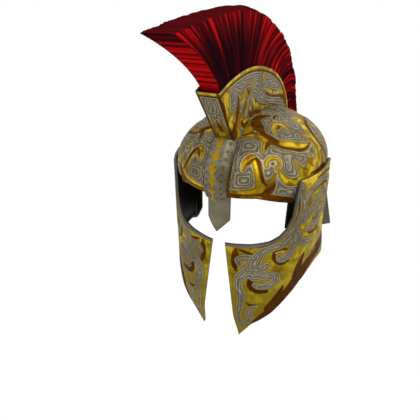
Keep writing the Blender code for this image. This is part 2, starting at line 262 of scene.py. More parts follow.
def band_lift(across, latitude):
    """Height of the strap's outer face over the skull."""
    swell = BAND_RISE * read(np.array(BAND_SWELL), np.degrees(latitude))
    return BAND_EDGE + CLEARANCE + (swell - BAND_EDGE) * (1 - np.abs(across) ** 2.4) ** 0.5


def cheek_face(bearing, height):
    """The guards' outer face at bearings from the middle of the face, and heights."""
    share = np.clip((CHEEK_TOP - height) / (CHEEK_TOP - CHEEK_JAW_LEVEL), 0, 1)
    seat = CHEEK_EDGE + CLEARANCE * 1.5
    half_width = SKULL_HALF_WIDTH + seat
    half_width = half_width + (CHEEK_JAW_HALF_WIDTH - half_width) * share
    reach = SKULL_FRONT_REACH + seat
    reach = reach + (CHEEK_JAW_REACH - reach) * share
    below_jaw = smooth(CHEEK_JAW_LEVEL, CHEEK_JAW_LEVEL - 0.073, height)
    flare = CHEEK_REAR_FLARE * below_jaw * smooth(math.radians(80), math.radians(112), bearing)
    tuck = CHEEK_CHIN_TUCK * smooth(CHEEK_TIP + 0.062, CHEEK_TIP - 0.008, height)
    return np.stack((
        half_width * np.sin(bearing) + flare,
        CHEEK_JAW_CENTRE * share - reach * np.cos(bearing) + tuck,
        height + 0 * bearing,
    ), axis=-1)


def cheek_place(u, v):
    """The guard's outer face: u from front to back, v from lower to upper edge."""
    bearing, level = [
        read(CHEEK_LOWER_EDGE, u, column) * (1 - v) + read(CHEEK_UPPER_EDGE, u, column) * v
        for column in (1, 2)
    ]
    return cheek_face(np.radians(bearing), CHEEK_TOP + (CHEEK_TIP - CHEEK_TOP) * level)


def slopes(place, u, v, step=0.002):
    """How place(u, v) changes along u and along v."""
    low_u, high_u = np.maximum(u - step, 0), np.minimum(u + step, 1)
    low_v, high_v = np.maximum(v - step, 0), np.minimum(v + step, 1)
    along_u = (place(high_u, v) - place(low_u, v)) / (high_u - low_u)[..., None]
    along_v = (place(u, high_v) - place(u, low_v)) / (high_v - low_v)[..., None]
    return along_u, along_v


def facing(along_u, along_v, outward):
    """Unit normals on the side that outward points to."""
    normal = unit(np.cross(along_u, along_v))
    return normal * np.where((normal * outward).sum(-1) > 0, 1, -1)[..., None]


# Scrollwork. A scroll is a row of (place, place, half width in mm) stations.

def scroll_path(rows, place, steps=7):
    """Points in space and half widths along a smooth curve through a scroll's stations."""
    rows = np.array(rows, dtype=float)
    ends = np.vstack((2 * rows[0] - rows[1], rows, 2 * rows[-1] - rows[-2]))
    t = np.linspace(0, 1, steps, endpoint=False)[:, None]
    parts = []
    for a, b, c, d in zip(ends, ends[1:], ends[2:], ends[3:]):
        parts.append(0.5 * (
            2 * b + (c - a) * t + (2 * a - 5 * b + 4 * c - d) * t ** 2
            + (3 * b - a - 3 * c + d) * t ** 3
        ))
    path = np.vstack(parts + [rows[-1:]])
    return place(path[:, 0], path[:, 1]), np.maximum(path[:, 2], 0.05) * MM


def scroll_depth(points, scrolls, place, reach=16 * MM):
    """Depth in mm inside the union of the scrolls, negative outside."""
    best = np.full(len(points), -reach)
    for rows in scrolls:
        path, widths = scroll_path(rows, place)
        margin = widths.max() + reach
        near = np.all((points > path.min(0) - margin) & (points < path.max(0) + margin), axis=1)
        chosen = np.flatnonzero(near)
        if not len(chosen):
            continue
        here = points[chosen]
        deepest = best[chosen]
        for a, b, wide_a, wide_b in zip(path, path[1:], widths, widths[1:]):
            run = b - a
            share = np.clip(((here - a) @ run) / max(run @ run, 1e-12), 0, 1)
            away = np.linalg.norm(here - a - share[:, None] * run, axis=1)
            deepest = np.maximum(deepest, wide_a + (wide_b - wide_a) * share - away)
        best[chosen] = deepest
    return best / MM


def relief(silver):
    """Height in metres of raised scrolls with lines engraved along their outlines."""
    body = smooth(-0.7, 0.9, silver) * SCROLL_HEIGHT
    lines = 0.5 - 0.5 * np.cos(2 * math.pi * (silver - 0.8) / LINE_PERIOD)
    return (body - LINE_DEPTH * lines * smooth(0.9, 1.8, silver)) * MM


# Meshes.

SCROLL_LAYERS = ("silver", "stain")


def add_layers(bm, names):
    for name in names:
        bm.verts.layers.float.new(name)


def loose_grid(columns, rows, names=()):
    """A grid whose vertices keep their number in Z, with their shares u and v."""
    bm = bmesh.new()
    add_layers(bm, names)
    bmesh.ops.create_grid(bm, x_segments=len(columns) - 1, y_segments=len(rows) - 1, size=0.5)
    flat = np.array([vert.co[:2] for vert in bm.verts]) + 0.5
    u = np.asarray(columns)[np.rint(flat[:, 0] * (len(columns) - 1)).astype(int)]
    v = np.asarray(rows)[np.rint(flat[:, 1] * (len(rows) - 1)).astype(int)]
    for vert in bm.verts:
        vert.co.z = vert.index
    return bm, u, v


def store(bm, layers, rows):
    """Write values to the vertices' layers; rows gives each vertex its row."""
    for name, values in layers.items():
        layer = bm.verts.layers.float[name]
        for vert, row in zip(bm.verts, rows):
            vert[layer] = float(values[row])


def move(bm, points):
    """Put every vertex at its own point."""
    for vert, point in zip(bm.verts, points):
        vert.co = point


def shell(columns, rows, outer, inner, layers, names=()):
    """A closed plate; its outer faces take material 0, the inner 1 and the edges 2."""
    bm, u, v = loose_grid(columns, rows, names)
    made = bmesh.ops.extrude_face_region(bm, geom=list(bm.faces), use_keep_orig=True)
    backs = {item for item in made["geom"] if isinstance(item, bmesh.types.BMVert)}
    front, rear = outer(u, v), inner(u, v)
    number = [round(vert.co.z) for vert in bm.verts]
    for vert, row in zip(bm.verts, number):
        vert.co = rear[row] if vert in backs else front[row]
    for face in bm.faces:
        behind = sum(vert in backs for vert in face.verts)
        face.material_index = 0 if behind == 0 else 1 if behind == len(face.verts) else 2
    store(bm, layers(u, v), number)
    bmesh.ops.recalc_face_normals(bm, faces=list(bm.faces))
    return bm


def finish(name, bm, materials, node=None, sharp=40):
    """Turn a mesh into a finished piece that rides with the helmet."""
    mesh = bpy.data.meshes.new(name)
    bm.to_mesh(mesh)
    bm.free()
    mesh.shade_smooth()
    mesh.set_sharp_from_angle(angle=math.radians(sharp))
    piece = bpy.data.objects.new(name, mesh)
    bpy.context.scene.collection.objects.link(piece)
    for material in materials:
        piece.data.materials.append(material)
    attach(piece, "root")
    if node:
        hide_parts(node)
    return piece


def close_up(bm, gap):
    """Merge vertices that lie within the gap and turn the faces outwards."""
    bmesh.ops.remove_doubles(bm, verts=list(bm.verts), dist=gap)
    bmesh.ops.recalc_face_normals(bm, faces=list(bm.faces))


def give_wall(piece, thickness, rim_material):
    """Give a piece's faces a wall inwards; the wall's inner side takes material 1."""
    wall = piece.modifiers.new("wall", "SOLIDIFY")
    wall.thickness = thickness
    wall.offset = -1.0
    wall.material_offset = 1
    wall.material_offset_rim = rim_material


def soften(piece, width):
    """Round a plate's edges."""
    edge = piece.modifiers.new("edge", "BEVEL")
    edge.width = width
    edge.segments = 2
    edge.limit_method = "ANGLE"
    edge.angle_limit = math.radians(50)
    edge.harden_normals = False


def finish_pair(node, part, bm, materials):
    """Finish a left piece and its mirror image; both pieces are given back."""
    twin = bm.copy()
    for vert in twin.verts:
        vert.co.x = -vert.co.x
    bmesh.ops.reverse_faces(twin, faces=list(twin.faces))
    return [
        finish(f"{node}_{side}_{part}", mesh, materials, f"{node}_{side}")
        for mesh, side in ((bm, "left"), (twin, "right"))
    ]


def lines(count):
    """Shares from 0 to 1 in equal steps."""
    return np.linspace(0, 1, count + 1)


# Shader maths.

class Value:
    """A socket that can be used in Python expressions."""

    def __init__(self, nodes, socket):
        self.nodes = nodes
        self.socket = socket

    def __add__(self, other):
        return self.nodes.math("ADD", self, other)

    def __sub__(self, other):
        return self.nodes.math("SUBTRACT", self, other)

    def __mul__(self, other):
        return self.nodes.math("MULTIPLY", self, other)

    def __radd__(self, other):
        return self.nodes.math("ADD", other, self)

    def __rsub__(self, other):
        return self.nodes.math("SUBTRACT", other, self)

    def __rmul__(self, other):
        return self.nodes.math("MULTIPLY", other, self)

    def __pow__(self, power):
        return self.nodes.math("POWER", self, power)


class Nodes:
    """A material's node tree with one method that makes any node."""

    def __init__(self, name):
        self.material = bpy.data.materials.new(name)
        self.material.use_nodes = True
        self.tree = self.material.node_tree
        self.shader = self.tree.nodes["Principled BSDF"]

    def make(self, kind, settings, values=(), output=0):
        node = self.tree.nodes.new(kind)
        for key, value in settings.items():
            setattr(node, key, value)
        pairs = values.items() if isinstance(values, dict) else enumerate(values)
        for key, value in pairs:
            self.put(node.inputs[key], value)
        return Value(self, node.outputs[output])

    def math(self, operation, *values):
        return self.make("ShaderNodeMath", {"operation": operation}, values)

    def put(self, socket, value):
        if isinstance(value, Value):
            self.tree.links.new(value.socket, socket)
        else:
            socket.default_value = value

    def set(self, **values):
        """Feed the shader's own sockets; an underscore stands for a space."""
        for key, value in values.items():
            self.put(self.shader.inputs[key.replace("_", " ")], value)

    def attribute(self, name):
        return self.make("ShaderNodeAttribute", {"attribute_name": name}, output="Fac")

    def place(self):
        return self.make("ShaderNodeTexCoord", {}, output="Object")

    def part(self, vector, number):
        """One of a vector's three values."""
        split = self.tree.nodes.new("ShaderNodeSeparateXYZ")
        self.put(split.inputs[0], vector)
        return Value(self, split.outputs[number])

    def noise(self, vector, scale, detail=3.0, roughness=0.55, stretch=None):
        if stretch:
            vector = self.make("ShaderNodeMapping", {}, {"Vector": vector, "Scale": stretch})
        values = {"Vector": vector, "Scale": scale, "Detail": detail, "Roughness": roughness}
        return self.make("ShaderNodeTexNoise", {}, values)

    def ramp(self, value, low, high):
        """Ease from 0 at low to 1 at high."""
        settings = {"interpolation_type": "SMOOTHSTEP"}
        values = {"Value": value, "From Min": low, "From Max": high}
        return self.make("ShaderNodeMapRange", settings, values)

    def mix_value(self, share, first, second):
        """A value between two values."""
        return first + share * (first * -1.0 + second)

    def mix(self, share, first, second):
        """A colour between two colours."""
        first, second = [c if isinstance(c, Value) else (*c, 1.0) for c in (first, second)]
        node = self.tree.nodes.new("ShaderNodeMix")
        node.data_type = "RGBA"
        for socket, value in zip((node.inputs[0], node.inputs[6], node.inputs[7]),
                                 (share, first, second)):
            self.put(socket, value)
        return Value(self, node.outputs[2])

    def bump(self, height, distance, strength=1.0):
        values = {"Strength": strength, "Distance": distance, "Height": height}
        self.set(Normal=self.make("ShaderNodeBump", {}, values))


# Finishes.

SILVER = (0.185, 0.158, 0.098)
SILVER_PALE = (0.32, 0.285, 0.195)
SILVER_DARK = (0.070, 0.058, 0.032)
GOLD = (0.33, 0.195, 0.004)
GOLD_BRIGHT = (0.57, 0.415, 0.014)
GOLD_OLIVE = (0.165, 0.120, 0.005)
BROWN = (0.105, 0.034, 0.001)
BROWN_DARK = (0.045, 0.014, 0.001)


def scrollwork(name):
    """Gilding and silver: reads how deep inside the silver or inside a stain a point lies."""
    n = Nodes(name)
    place = n.place()
    wobble = n.noise(place, 190, 2) - 0.5
    silver = n.attribute("silver") + wobble * 1.1
    stain = n.attribute("stain") + wobble * 1.4
    on_silver = n.ramp(silver, -0.4, 0.4)
    drift = (n.noise(place, 55, 1) - 0.5) * 9.0 * n.ramp(silver, 1.5, 5.0)
    wave = n.math("COSINE", (silver + drift - 0.9) * (2 * math.pi / LINE_PERIOD))
    groove = n.ramp(wave, 0.35, -0.9) * n.ramp(silver, 0.7, 1.6)
    fret = n.noise(place, 420, 1)
    cloud = n.noise(place, 60, 4)
    patch = n.noise(place, 24, 2)
    gold = n.mix(n.ramp(patch, 0.40, 0.56), GOLD, GOLD_BRIGHT)
    gold = n.mix(n.ramp(cloud, 0.57, 0.40) * 0.85, gold, GOLD_OLIVE)
    # Brown along the silver's edges: patina in the hollows beside the raised scrolls, deepened
    # with painted shade.
    gold = n.mix(n.ramp(silver + (cloud - 0.5) * 7.0, -3.4, -0.2) * 0.72, gold, BROWN)
    gold = n.mix(n.ramp(n.noise(place, 38, 3), 0.52, 0.64) * 0.75, gold, BROWN)
    brown = n.mix(n.ramp(cloud, 0.35, 0.65), BROWN_DARK, BROWN)
    stained = n.ramp(stain, -0.9, 0.9)
    # Painted shade: towards the bottom of the helmet the gilding turns olive and the brown
    # darkens.
    low = n.ramp(n.part(place, 2), -0.06, -0.30)
    gold = n.mix(n.ramp(cloud + low * 0.2, 0.42, 0.60) * low * 0.85, gold, GOLD_OLIVE)
    brown = n.mix(low * 0.8, brown, BROWN_DARK)
    ground = n.mix(stained, gold, brown)
    pale = n.mix(n.ramp(wave, 0.2, 0.98) * n.ramp(fret, 0.30, 0.62), SILVER, SILVER_PALE)
    metal = n.mix(groove * 0.65, pale, SILVER_DARK)
    metal = n.mix(n.ramp(patch, 0.56, 0.42) * 0.35, metal, SILVER_DARK)
    n.set(
        Base_Color=n.mix(on_silver, ground, metal),
        Roughness=0.38 + 0.22 * cloud,
        Metallic=0.55 - 0.25 * stained,
        Specular_IOR_Level=0.0,
    )
    n.bump(groove * -1.0 + cloud * 0.25 + n.noise(place, 900, 2) * 0.12, 0.0005)
    return n.material


def ornament(name):
    """The strap's dull silver with a row of gilded lozenges and two rows of dots."""
    n = Nodes(name)
    place = n.place()
    across = n.attribute("across")
    up = n.attribute("up")
    cloud = n.noise(place, 45, 4)
    speck = n.noise(place, 240, 2)

    def cell(count, shift=0.0):
        return n.math("PINGPONG", up * count + shift, 0.5)

    def size(value):
        return n.math("ABSOLUTE", value)

    blur = (speck - 0.5) * 0.9 + (n.noise(place, 70, 1) - 0.5) * 0.8
    lozenge = size(across + 0.10) * 1.9 + (0.5 - cell(5.5, 0.35)) + blur
    on_gold = n.ramp(lozenge, 0.62, 0.52)
    aside = size(size(across) - 0.62) * 2.6
    dots = n.math("SQRT", aside ** 2.0 + ((0.5 - cell(9.0)) * 1.5) ** 2.0)
    on_dot = n.ramp(dots + (speck - 0.5) * 0.5, 0.34, 0.22)
    metal = n.mix(n.ramp(cloud, 0.38, 0.62), (0.085, 0.078, 0.052), (0.185, 0.168, 0.115))
    metal = n.mix(n.ramp(up, 0.45, 0.05) * 0.5, metal, (0.065, 0.062, 0.045))
    metal = n.mix(n.ramp(speck, 0.52, 0.68) * 0.5, metal, (0.055, 0.046, 0.022))
    metal = n.mix(on_dot * 0.85, metal, BROWN)
    gold = n.mix(n.ramp(cloud, 0.35, 0.6), GOLD_OLIVE, GOLD)
    n.set(
        Base_Color=n.mix(on_gold, metal, gold),
        Roughness=0.36 + 0.2 * cloud,
        Metallic=0.55,
        Specular_IOR_Level=0.1,
    )
    n.bump(on_gold - on_dot * 0.8 + speck * 0.3, 0.0006)
    return n.material


def plain_metal(name, colour, dark, roughness=0.45, metallic=0.75):
    """Dull metal, darker in clouds, with fine scratches."""
    n = Nodes(name)
    place = n.place()
    cloud = n.noise(place, 35, 4)
    scratch = n.noise(place, 300, 3, stretch=(1.0, 1.0, 0.12))
    n.set(
        Base_Color=n.mix(n.ramp(cloud, 0.35, 1.2), dark, colour),
        Roughness=roughness - 0.08 + 0.25 * scratch,
        Metallic=metallic,
        Specular_IOR_Level=0.1,
    )
    n.bump(scratch, 0.00012)
    return n.material


RED = (0.068, 0.003, 0.004)
RED_BRIGHT = (0.47, 0.004, 0.005)
RED_BLACK = (0.010, 0.002, 0.004)


def hair(name):
    """Dyed hair in streaks that run along the strands, with painted shade low on the front of the
    flanks and towards the back end, and painted light on the front face.
    """
    n = Nodes(name)
    strand = n.make("ShaderNodeUVMap", {"uv_map": "strand"})
    along, rise = n.part(strand, 0), n.part(strand, 1)
    broad = n.noise(strand, 1.0, 2, stretch=(130.0, 0.4, 1.0))
    narrow = n.noise(strand, 1.0, 2, stretch=(430.0, 0.8, 1.0))
    # Painted shade low on the front of the flanks.
    shade = n.ramp(along, 0.034, 0.042) * n.ramp(along, 0.36, 0.16) * n.ramp(rise, 2.0, 1.35)
    on_top = n.ramp(rise, 1.99, 2.06) * n.ramp(rise, 4.0, 3.5)
    # Painted light on the front face: lighter low down, darker higher up.
    ahead = n.ramp(rise, 3.5, 4.0) * (n.ramp(along, 0.245, 0.205) * 0.10 - 0.04)
    # Painted shade towards the back end.
    behind = n.ramp(along, 0.37, 0.45) * 0.045
    streak = broad * 0.6 + narrow * 0.4 - shade * 0.13
    streak = streak + 0.02 - behind + ahead
    streak = n.mix_value(on_top * 0.7, streak, 0.455)
    colour = n.mix(n.ramp(streak, 0.38, 0.52), RED_BLACK, RED)
    colour = n.mix(n.ramp(streak, 0.51, 0.64), colour, RED_BRIGHT)
    n.set(Base_Color=colour, Roughness=0.5 + 0.2 * narrow, Metallic=0.0, Specular_IOR_Level=0.0)
    n.bump(narrow, 0.0006)
    return n.material


gilded = scrollwork("gilded_scrollwork")
edge_metal = plain_metal("worn_edge", (0.26, 0.235, 0.185), (0.10, 0.09, 0.068))
blade_metal = plain_metal("blade_steel", (0.30, 0.268, 0.180), (0.125, 0.110, 0.070))
inside_metal = plain_metal("dark_inside", (0.034, 0.032, 0.023), (0.012, 0.011, 0.008), 0.6, 0.4)
dark_steel = plain_metal("dark_steel", (0.14, 0.134, 0.098), (0.06, 0.057, 0.041))
strap_metal = ornament("strap_ornament")
ring_metal = plain_metal("ring_silver", (0.26, 0.24, 0.185), SILVER)
hair_red = hair("red_hair")


# Skull.

# Rows: azimuth from the brow and latitude in degrees, half width in mm. On the skull and the
# box the silver is the ground, and these gilded flames and brown stains lie on it.
SKULL_GOLD = (
    ((17.5, 20.5, 0.6), (17.6, 25, 1.5), (19.5, 29.5, 2.3), (23.5, 32, 2.6), (25, 28, 2.2),
     (26.6, 20, 2.0), (27.6, 12, 2.3), (28.4, 5, 3.2), (29, 0, 4.0)),
    ((9, -3.5, 2.2), (16, -3.2, 2.4), (24, -1.5, 3.2), (30, 1.5, 3.0)),
    ((30, 2, 3.0), (33.5, 6.5, 2.4), (37, 9.5, 1.5), (38.8, 15, 0.5)),
    ((42.3, 18, 0.5), (43.4, 13, 2.0), (47, 6.5, 3.2), (53, 3.2, 3.6), (58, 4.5, 4.2),
     (64, 8, 5.5)),
    ((55, 22, 0.6), (57.5, 16, 2.4), (60.5, 10, 4.6), (65, 7, 5.5)),
    ((71, 24.5, 0.8), (68, 18, 4.0), (66, 12, 6.0), (70, 8, 5.5), (77, 9, 5.0)),
    ((76.5, 12, 4.5), (73.5, 15, 5.0)),
    ((87, 36, 3.0), (86.5, 27, 4.5), (84.5, 19, 5.0), (81, 11, 4.5), (75, 8, 4.0)),
    ((113, 52, 3.5), (104, 53, 4.6), (96, 53, 5.6), (90.5, 47, 6.0), (86, 41, 5.2),
     (80.5, 41, 3.2), (76, 45, 0.8)),
    ((87, 30, 3.0), (88.5, 18, 3.2), (90.5, 8, 3.2), (95, 1, 3.0), (100, -5, 2.6)),
    ((44, 46, 1.8), (50, 41.5, 3.2), (57, 39.5, 4.0), (63, 36.5, 3.4), (69, 34.5, 3.2),
     (74, 34, 1.4)),
    ((8, 49, 2.0), (10, 54, 3.5), (15, 58, 5.5), (18.5, 65, 5.0), (22, 72, 4.4), (30, 79, 3.4)),
    ((10, 50.5, 1.8), (18, 53, 2.6), (26, 51.5, 3.4), (33, 48, 4.6), (35.5, 45, 3.6),
     (33.5, 41, 2.4), (31.6, 37, 0.7)),
    ((48.0, 53, 1.6), (49.0, 59, 3.0), (55, 62, 3.4), (61, 61, 2.8), (65.5, 57.5, 2.8),
     (65.5, 53, 1.2)),
    ((90, 60.5, 0.8), (99, 59, 1.5), (110, 56, 1.5)),
    ((96, 36, 0.7), (101, 30, 1.8), (104, 22, 2.0), (103, 14, 0.8)),
    ((114, 12, 0.8), (108, 6, 2.6), (106, -4, 3.4), (110, -12, 2.0), (114, -14, 0.8)),
    ((70, -16, 0.8), (77, -14, 3.0), (84, -9, 3.6), (92, -12, 2.4), (97, -19, 0.8)),
    ((58, -8, 0.8), (63, -14, 2.6), (64, -22, 2.4), (60, -28, 0.8)),
    ((112, 30, 1.0), (113, 38, 2.6), (108, 44, 1.4)),
    ((33.4, 23, 0.5), (33.6, 27, 0.8), (36, 30, 1.0), (40, 30, 1.0), (42.6, 27, 0.8),
     (42.8, 23, 0.6), (40, 20.2, 0.4)),
    ((76, 14, 4.0), (79, 22, 3.4), (81, 30, 3.0), (80, 36, 1.4)),
)
SKULL_BROWN = (
    ((19.5, 25.5, 1.2), (21.5, 27.5, 1.8), (25.5, 31, 1.6), (28, 26.5, 2.4), (29.4, 18, 2.0),
     (31, 10, 2.0), (33.5, 5, 1.2)),
    ((8, -6, 1.6), (20, -6, 1.8), (30, -5, 2.6), (35, -2, 5.0), (37.5, 2, 3.0), (39, 7, 0.8)),
    ((31, -6, 3.6), (38, -11, 4.6), (46, -16, 4.6), (54, -21, 3.4)),
    ((29, 71, 4.0), (38, 74, 5.4), (50, 74.5, 4.4), (60, 73, 2.4)),
    ((8.2, 46, 1.0), (8.7, 30, 1.1), (9, 14, 1.3), (9, -3, 1.5)),
    ((25, 72, 4.0), (26, 65, 7.4), (29, 60, 6.6), (33, 54, 3.4), (39, 49, 4.4), (46, 44, 2.6)),
    ((33, 39, 1.0), (37, 44, 3.2), (41, 44, 3.4), (48, 38.5, 2.2), (56, 35, 2.2),
     (63, 32, 2.4), (70, 31.5, 2.2), (77, 34, 1.0)),
    ((68, 6, 1.4), (76, 5, 2.6), (84, 6, 3.4), (88, 3, 2.6), (93, -3, 1.6)),
    ((112, 48.5, 1.5), (104, 49, 2.2), (97, 46, 2.8), (92, 39, 2.4), (91, 31, 1.2)),
    ((53.5, 56, 0.9), (57, 58.6, 1.8), (61.5, 57.5, 0.9)),
    ((59, 67.5, 0.8), (67, 70.5, 1.6), (78, 71.5, 1.2)),
    ((88, 33, 0.6), (91, 26, 1.4), (92.5, 16, 1.4), (95, 7, 0.8)),
    ((37.6, 25.2, 1.3), (38.4, 25.2, 1.3)),
    ((100, -20, 0.8), (103, -10, 1.8), (101, 2, 1.8), (104, 12, 0.8)),
    ((50, -30, 1.0), (58, -32, 2.6), (68, -28, 2.6), (76, -24, 1.0)),
    ((9, 51.6, 0.8), (14, 52.6, 1.6), (20, 54.5, 1.6), (26, 54.5, 0.8)),
)


SKULL_FOLD = math.radians(115)
RING_LATITUDES = (1.0, 9.0, 17.0, 24.5, 31.5, 38.0)
RING_OFFSET = 19.8 * MM
RING_RADIUS = 1.9 * MM
RING_WIRE = 0.75 * MM
RING_LIFT = 0.9 * MM
# Factor on the eased depths of the silver, which easing lowers.
EASE_GAIN = 1.08
# In mm: flames are widened, silver keeps off them, and a stain, gilding and a roll follow the rim.
FLAME_WIDEN = 1.15
JOIN = 0.5
RIM_STAIN = 2.6
RIM_GILDING = 6.6
RIM_ROLL = 0.35


def degrees_on_skull(azimuth, latitude):
    return skull_point(np.radians(azimuth), np.radians(latitude))


def make_skull_rings():
    """Small raised rings in a row on both sides of the brow band."""
    latitude = np.array(RING_LATITUDES)
    sine = RING_OFFSET / (SKULL_HALF_WIDTH * np.cos(np.radians(latitude)))
    centres = degrees_on_skull(np.degrees(np.arcsin(sine)), latitude)
    outward = skull_normal(centres)
    bm = bmesh.new()
    for centre, normal in zip(centres, outward):
        for side in (-1, 1):
            mirror = np.array((side, 1, 1))
            hub = Vector((centre + normal * RING_LIFT) * mirror)
            axis = Vector(normal * mirror)
            aside = axis.orthogonal().normalized()
            start = hub + aside * RING_RADIUS
            turn = Matrix.LocRotScale(start, (aside.cross(axis)).to_track_quat("Z", "X"), None)
            made = bmesh.ops.create_circle(bm, segments=8, radius=RING_WIRE, matrix=turn)
            edges = list({edge for vert in made["verts"] for edge in vert.link_edges})
            bmesh.ops.spin(
                bm, geom=made["verts"] + edges, cent=hub, axis=axis, angle=2 * math.pi, steps=18,
                use_merge=True,
            )
    close_up(bm, 0.02 * MM)
    finish("skull_rings", bm, (ring_metal,))


def ease(bm, silver, passes=6 if fine else 2):
    """Depths with the sharp corners of their inner lines rounded off."""
    bm.verts.index_update()
    ends = np.array([[vert.index for vert in edge.verts] for edge in bm.edges])
    ends = np.concatenate((ends, ends[:, ::-1]))
    eased = silver.copy()
    near = np.bincount(ends[:, 0], minlength=len(silver))
    for _ in range(passes):
        eased = np.bincount(ends[:, 0], eased[ends[:, 1]], minlength=len(silver)) / near
    return silver + (eased * EASE_GAIN - silver) * smooth(0.4, 3.0, silver)


def make_skull():
    """The bowl: half a sphere moved onto the skull's face, raised into scrolls, given a wall."""
    sides, rings = (400, 112) if fine else (240, 70)
    bm = bmesh.new()
    add_layers(bm, SCROLL_LAYERS)
    bmesh.ops.create_uvsphere(bm, u_segments=sides, v_segments=2 * rings, radius=1.0)
    lower = [vert for vert in bm.verts if vert.co.z < -0.001]
    bmesh.ops.delete(bm, geom=lower, context="VERTS")
    co = np.array([vert.co[:] for vert in bm.verts])
    azimuth = np.arctan2(co[:, 0], -co[:, 1])
    share = np.arcsin(np.clip(co[:, 2], 0, 1)) / (math.pi / 2)
    start = rim_latitude(azimuth)
    latitude = start + (math.pi / 2 - start) * share
    points = skull_point(azimuth, latitude)
    folded = np.abs(azimuth)
    folded = np.where(folded > SKULL_FOLD, 2 * SKULL_FOLD - folded, folded)
    measured = skull_point(folded, latitude)
    from_rim = (points[:, 2] - rim_height(points[:, 1])) / MM
    stain = scroll_depth(measured, SKULL_BROWN, degrees_on_skull)
    stain = np.maximum(stain, RIM_STAIN - from_rim)
    flame = scroll_depth(measured, SKULL_GOLD, degrees_on_skull) + FLAME_WIDEN
    flame = np.maximum(flame, RIM_GILDING - from_rim)
    silver = ease(bm, -np.maximum(flame, stain) - JOIN)
    rolled = RIM_ROLL * smooth(2.2, 0.6, from_rim) * MM
    raised = points + skull_normal(points) * (relief(silver) + rolled)[:, None]
    move(bm, raised)
    store(bm, {"silver": silver, "stain": stain}, range(len(raised)))
    bmesh.ops.recalc_face_normals(bm, faces=list(bm.faces))
    piece = finish("skull_scrollwork", bm, (gilded, inside_metal, edge_metal), "skull")
    give_wall(piece, SKULL_WALL, 2)


# Cheek guards.

# Rows: bearing from the middle of the face in degrees, height and half width in mm. On the
# guards the gilding is the ground.
CHEEK_SILVER = (
    ((57.5, -70, 3.0), (58.6, -84, 3.6), (60, -100, 4.6), (59, -113, 5.4), (55, -127, 5.6),
     (51, -140, 5.4), (45, -152, 5.0), (37, -157.5, 4.4), (30, -163, 5.0), (27, -176, 7.0),
     (24.5, -190, 8.0), (19, -203, 7.4), (15.4, -214, 5.2), (16, -230, 5.0), (18.6, -246, 5.2),
     (17.4, -259, 3.0), (17.2, -270, 3.4), (16.9, -284, 1.8), (18, -299, 2.8), (20.5, -310, 1.6)),
    ((25, -176, 5.0), (19, -173, 4.2), (14.6, -178, 3.4), (16, -186, 2.4)),
    ((26, -200, 6.0), (31.5, -192, 4.6), (34.5, -186, 3.6)),
    ((26, -206, 6.0), (34, -204, 6.4), (41, -207, 5.4), (42.3, -215, 5.0), (37.5, -223, 4.8),
     (30.5, -225, 3.6), (26.8, -221, 1.8)),
    ((54, -135, 5.0), (54.5, -150, 5.4), (53, -164, 5.2), (48.5, -176, 5.0), (44, -179, 3.6),
     (42.5, -172, 2.2)),
    ((58.5, -142, 3.0), (58.6, -151, 4.0), (62.5, -159.5, 4.6), (68.5, -162, 3.4),
     (73, -158, 1.2)),
    ((64, -140, 1.6), (69, -138, 4.8), (75, -138, 5.0), (80.5, -132, 3.6), (85, -124, 1.2)),
    ((61, -122, 4.2), (67, -113, 5.6), (72, -103, 6.0), (79, -97, 4.4), (87, -99, 3.0),
     (91, -107, 1.4)),
    ((60.5, -93, 3.0), (65, -83, 3.6), (71, -76, 3.2), (79, -73, 2.4), (88, -78, 1.2)),
    ((72, -124, 1.2), (78, -117, 3.2), (86, -116, 3.0), (94, -124, 1.4)),
    ((29.5, -264, 1.0), (26, -268, 2.8), (24.2, -278, 3.4), (26, -288, 3.0), (22.6, -297, 2.2)),
    ((94, -80, 0.8), (99, -92, 2.6), (100, -108, 3.2), (98, -124, 2.4), (92, -136, 1.0)),
)
CHEEK_BROWN = (
    ((108, -176, 6.0), (100, -190, 9.0), (90, -197, 11.0), (78, -203, 11.0), (70, -211, 12.0),
     (62, -226, 12.0), (55, -243, 10.0), (46, -262, 8.0), (38, -279, 6.5), (30, -295, 4.0),
     (23, -317, 1.6)),
    ((65, -182, 2.0), (63, -192, 5.0), (61, -205, 7.0), (60, -218, 8.0)),
    ((82, -184, 2.0), (88, -188, 6.0), (97, -186, 7.0)),
    ((12.5, -160, 2.0), (12.4, -172, 5.4), (12.2, -186, 4.6), (13.6, -197, 2.4)),
    ((15, -160, 1.0), (20, -164, 2.2), (24, -166, 1.4)),
    ((38.5, -165, 1.6), (40, -175, 4.4), (45, -185, 4.6), (51, -184, 1.6)),
    ((38.5, -164, 1.6), (44, -161, 2.6), (48, -163, 2.0)),
    ((23, -211, 2.4), (24.5, -223, 5.6), (29, -232, 5.6), (36, -235, 4.0)),
    ((49, -229, 1.4), (47, -241, 4.6), (43, -256, 6.0), (38, -270, 5.4)),
    ((21.5, -256, 0.8), (25, -261, 2.2), (29, -260, 0.8)),
    ((21, -156, 0.9), (30, -153.5, 1.4), (37, -149, 1.4), (42, -140, 0.9)),
    ((53, -123, 0.9), (55.5, -108, 1.5), (56, -92, 1.5), (56, -74, 1.0)),
    ((66, -146, 1.2), (71, -150, 2.4), (79, -149, 1.6)),
    ((70, -126, 0.8), (76, -125, 1.6), (81, -121, 0.9)),
    ((64, -92, 0.9), (70, -84, 1.6), (80, -80, 1.4), (90, -87, 1.6), (95, -100, 1.0)),
    ((72, -66, 1.2), (84, -66, 1.8), (96, -72, 2.2)),
    ((104, -70, 1.6), (105, -110, 2.0), (104, -150, 2.6), (106, -176, 3.4)),
)


# Width of the bare border round the eye opening, and the height down to which it runs.
EYE_BORDER = 3.6 * MM
EYE_FLOOR = -0.19
# Radius of the edges, and width of the thick band inside them.
CHEEK_ROUNDING = 1.3 * MM
CHEEK_EDGE_BAND = 6 * MM
# In mm: silver is widened, and keeps off the guard's edges.
CHEEK_WIDEN = 1.5
CHEEK_MARGIN = 3.4


def degrees_on_cheek(bearing, height):
    return cheek_face(np.radians(bearing), height * MM)


